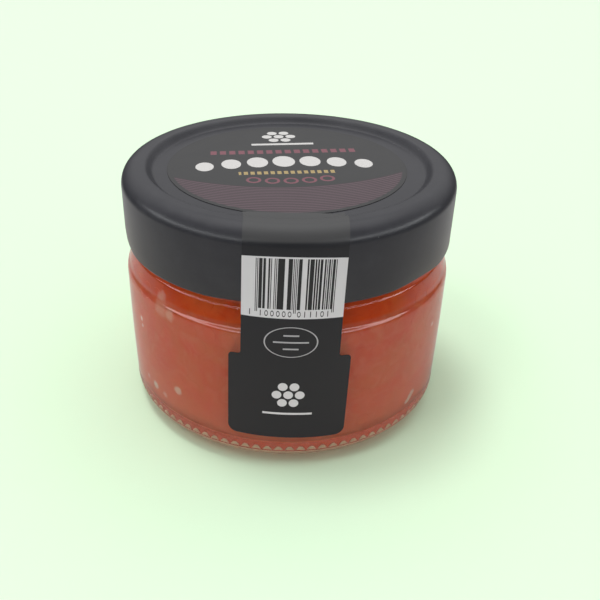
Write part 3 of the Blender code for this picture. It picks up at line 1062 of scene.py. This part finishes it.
def make_seal_label():
    """A strip bent over the rim and down the jar, stuck on a little askew."""
    path = seal_path()
    lengths = path_lengths(path)
    radii, heights = np.array(path).T
    outline = seal_outline()
    on_glass = [(half, np.interp(-height, -heights, lengths)) for half, height in outline]
    rows = [(SEAL_NECK_HALF, length) for length in lengths if length < on_glass[0][1] - 0.5 * MM] + on_glass
    pivot = np.interp(-SEAL_LEAN_HEIGHT, -heights, lengths)
    crest = lengths[int(np.argmax(heights))]
    lean = math.radians(SEAL_LEAN)
    bm = bmesh.new()
    bmesh.ops.create_grid(bm, x_segments=SEAL_COLUMNS, y_segments=len(rows) - 1, size=1.0)
    for vertex in bm.verts:
        half, length = rows[round((1 - vertex.co.y) / 2 * (len(rows) - 1))]
        across = vertex.co.x * half
        on_lid = max(0.0, 1 - length / crest)
        shift = (pivot - max(length, crest)) * math.sin(lean)
        shift += (SEAL_END_SHIFT - shift) * on_lid
        along = length + across * math.sin(lean) * (1 - on_lid)
        radius = np.interp(along, lengths, radii)
        height = np.interp(along, lengths, heights)
        x = BODY_RADIUS * math.sin((across + shift) / BODY_RADIUS)
        y = -radius - SEAL_END_SKEW * x if length == 0 else -math.sqrt(radius * radius - x * x)
        vertex.co = (x, y, height)
    bmesh.ops.recalc_face_normals(bm, faces=bm.faces)
    if min(bm.faces, key=lambda face: face.calc_center_median().z).normal.y > 0:
        bmesh.ops.reverse_faces(bm, faces=bm.faces)
    mesh = bpy.data.meshes.new("seal_label_printed")
    bm.to_mesh(mesh)
    bm.free()
    label = add_piece("seal_label_printed", mesh, seal_finish())
    paper = label.modifiers.new("paper", "SOLIDIFY")
    paper.thickness = LABEL_THICKNESS
    paper.offset = 1.0
    apply_modifiers(label)
    label.data.shade_smooth()
    label.data.set_sharp_from_angle(angle=math.radians(50))
    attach(label, "root")
    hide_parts("seal_label")


# The stage

def make_camera():
    """The photograph's view: the lens and place that were fitted to the jar's outlines."""
    data = bpy.data.cameras.new("camera")
    data.sensor_width = SENSOR
    data.lens = SENSOR * LENS_PIXELS / IMAGE_WIDTH
    data.shift_x = SHIFT_PIXELS / IMAGE_WIDTH
    camera = bpy.data.objects.new("camera", data)
    bpy.context.scene.collection.objects.link(camera)
    tilt = math.radians(CAMERA_ELEVATION)
    roll = math.radians(CAMERA_ROLL)
    back = Vector((0.0, -math.cos(tilt), math.sin(tilt)))
    right = Vector((1.0, 0.0, 0.0))
    up = Vector((0.0, math.sin(tilt), math.cos(tilt)))
    rolled_right = right * math.cos(roll) + up * math.sin(roll)
    rolled_up = up * math.cos(roll) - right * math.sin(roll)
    place = Matrix((
        (*rolled_right, 0.0),
        (*rolled_up, 0.0),
        (*back, 0.0),
        (0.0, 0.0, 0.0, 1.0),
    )).transposed()
    place.translation = Vector(CAMERA_AIM) + back * CAMERA_DISTANCE
    camera.matrix_world = place
    bpy.context.scene.camera = camera


def make_floor():
    """Pale green paper, whose green stays off the jar, which mirrors a plain pale card."""
    mesh = bpy.data.meshes.new("floor")
    reach = 3.0
    corners = [(-reach, -reach, 0), (reach, -reach, 0), (reach, reach, 0), (-reach, reach, 0)]
    mesh.from_pydata(corners, [], [(0, 1, 2, 3)])
    made = Finish("pale floor")
    seen = made.node("ShaderNodeLightPath", output="Is Camera Ray")
    away = made.node("ShaderNodeVectorMath", {"operation": "LENGTH"}, {0: made.place()}, output=1)
    # What the jar mirrors: a plain card, warmer close to it, that fades out about 0.3 m away
    card = made.mix(away.step(0.10, 0.16), (0.51, 0.495, 0.435), (0.50, 0.497, 0.487))
    card = made.mix(away.step(0.18, 0.32), card, (0.06, 0.06, 0.06))
    colour = made.mix(seen, card, (0.625, 0.80, 0.590))
    material = made.surface(Base_Color=colour, Roughness=0.9, Specular_IOR_Level=0.1)
    floor = add_piece("floor", mesh, material)


def make_light():
    """Soft light from above and behind, side windows and two broad suns, before a pale green backdrop."""
    world = bpy.data.worlds.new("soft studio")
    bpy.context.scene.world = world
    sky = Nodes(world)
    x, y, z = sky.parts(sky.node("ShaderNodeTexCoord", output="Generated"))
    # x, y and z are the parts of a direction: to the right, away from the camera and up
    band = z.step(0.10, 0.14) * (1 - z.step(0.24, 0.29))
    windows = band * abs(x).step(0.3, 0.45) * (1 - y.step(0.1, 0.35))
    overhead = z.step(0.12, 0.5) * 0.45 + z.step(0.6, 0.95) * y.step(-0.6, 0.1) * 1.1
    behind = y.step(0.0, 0.6) * z.step(-0.1, 0.25) * 0.2
    strength = 0.10 + overhead + behind + 4.5 * windows
    colour = sky.mix(windows, (1.0, 1.0, 1.0), (0.915, 0.945, 0.955))
    seen = sky.node("ShaderNodeLightPath", output="Is Camera Ray")
    colour = sky.mix(seen, colour, (0.84, 1.0, 0.78))
    strength = strength * (1 - seen) + seen
    light = sky.node("ShaderNodeBackground", None, {"Color": colour, "Strength": strength})
    sky.node("ShaderNodeOutputWorld", None, {"Surface": light})

    suns = (("high sun", 1.0, (-0.20, 0.12, 1.0)), ("left sun", 0.4, (-0.50, -0.35, 1.0)))
    for name, energy, toward in suns:
        sun_data = bpy.data.lights.new(name, "SUN")
        sun_data.energy = energy
        sun_data.angle = math.radians(16)
        sun = bpy.data.objects.new(name, sun_data)
        bpy.context.scene.collection.objects.link(sun)
        sun.visible_glossy = False
        sun.rotation_euler = Vector(toward).to_track_quat("Z", "Y").to_euler()


def set_view():
    view = bpy.context.scene.view_settings
    view.view_transform = "Standard"
    view.look = "None"
    view.exposure = 0.0
    view.gamma = 1.0


set_view()
make_camera()
make_floor()
make_light()
make_glass()
make_knurls()
make_eggs()
make_brine()
make_lid()
make_lid_label()
make_seal_label()
